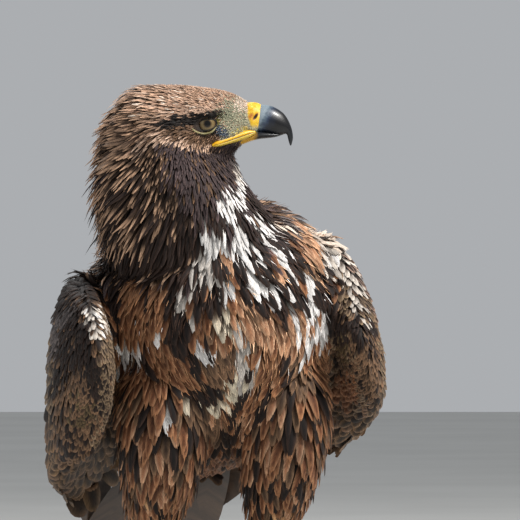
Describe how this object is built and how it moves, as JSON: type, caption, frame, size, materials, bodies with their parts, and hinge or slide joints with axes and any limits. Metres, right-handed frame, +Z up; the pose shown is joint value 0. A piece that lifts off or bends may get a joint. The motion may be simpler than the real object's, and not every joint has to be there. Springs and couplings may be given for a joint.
{
  "type": "golden eagle",
  "caption": "Life-size still golden eagle standing on both feet, wings folded, head turned to its left, with hooked bill, feathered legs and yellow toes.",
  "frame": {"origin": "middle of the bounding box, on the floor under the feet", "axes": "+Z up; the bird's body faces -Y and its tail points to +Y; its left side is +X, which is also where its bill points"},
  "size_m": [0.2898, 0.5828, 0.4724],
  "materials": {
    "plumage_body": "soft brown body feathers",
    "plumage_nape": "golden-buff pointed feathers",
    "plumage_wing": "dark brown flight feathers",
    "yellow_skin": "bare yellow skin, slightly waxy",
    "horn": "polished blue-black horn",
    "eye": "wet glossy hazel eye"
  },
  "bodies": {
    "root": {"head": "plumage_nape", "neck": "plumage_nape", "trunk": "plumage_body", "tail": "plumage_wing", "wing_left": "plumage_wing", "wing_right": "plumage_wing", "thigh_left": "plumage_body", "thigh_right": "plumage_body", "shank_left": "plumage_body", "shank_right": "plumage_body", "foot_left": "yellow_skin", "foot_right": "yellow_skin", "cere": "yellow_skin", "gape_left": "yellow_skin", "gape_right": "yellow_skin", "bill_upper": "horn", "bill_lower": "horn", "eye_left": "eye", "eye_right": "eye", "claw_inner_left": "horn", "claw_middle_left": "horn", "claw_outer_left": "horn", "claw_hind_left": "horn", "claw_inner_right": "horn", "claw_middle_right": "horn", "claw_outer_right": "horn", "claw_hind_right": "horn"}
  },
  "joints": []
}
